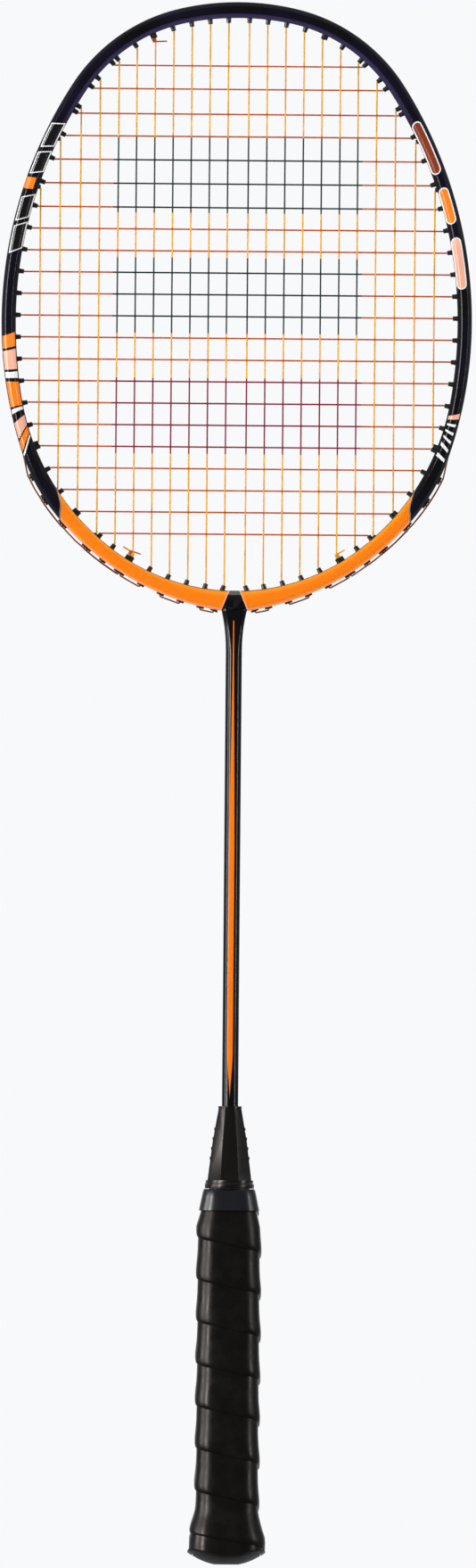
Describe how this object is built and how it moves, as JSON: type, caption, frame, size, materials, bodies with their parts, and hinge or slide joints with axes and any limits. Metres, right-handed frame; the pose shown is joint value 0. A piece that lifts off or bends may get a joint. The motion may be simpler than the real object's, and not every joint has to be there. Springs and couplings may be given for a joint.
{
  "type": "badminton racket",
  "caption": "Strung badminton racket with a moulded cone, a spirally wound handle grip and a domed butt cap.",
  "frame": {"origin": "middle of the flat on the end of the butt cap", "axes": "+Z from the butt to the crown of the head, X across the width of the head, Y through its depth, with the string bed in the plane Y = 0"},
  "size_m": [0.2034, 0.031, 0.675],
  "materials": {
    "hoop": "gloss lacquer over carbon composite, orange round the foot",
    "throat": "gloss lacquer",
    "shaft": "gloss lacquer over carbon composite",
    "cone": "satin moulded",
    "handle_wood": "bare",
    "butt_cap": "satin moulded",
    "grip": "soft synthetic leather, fine grain",
    "tape": "satin tape",
    "grommets": "satin nylon",
    "main_string": "gloss nylon",
    "cross_string": "gloss nylon"
  },
  "bodies": {
    "root": {"head_frame": "hoop", "throat_joint": "throat", "shaft": "shaft", "cone_cap": "cone", "handle_core": "handle_wood", "butt_cap": "butt_cap", "grip_wrap": "grip", "finishing_tape": "tape", "crown_grommets": "grommets", "foot_grommets": "grommets", "left_grommets": "grommets", "right_grommets": "grommets", "twin_grommets": "grommets", "tie_off_grommets": "grommets", "main_string": "main_string", "cross_string": "cross_string", "main_string_knots": "main_string", "cross_string_knots": "cross_string"}
  },
  "joints": []
}
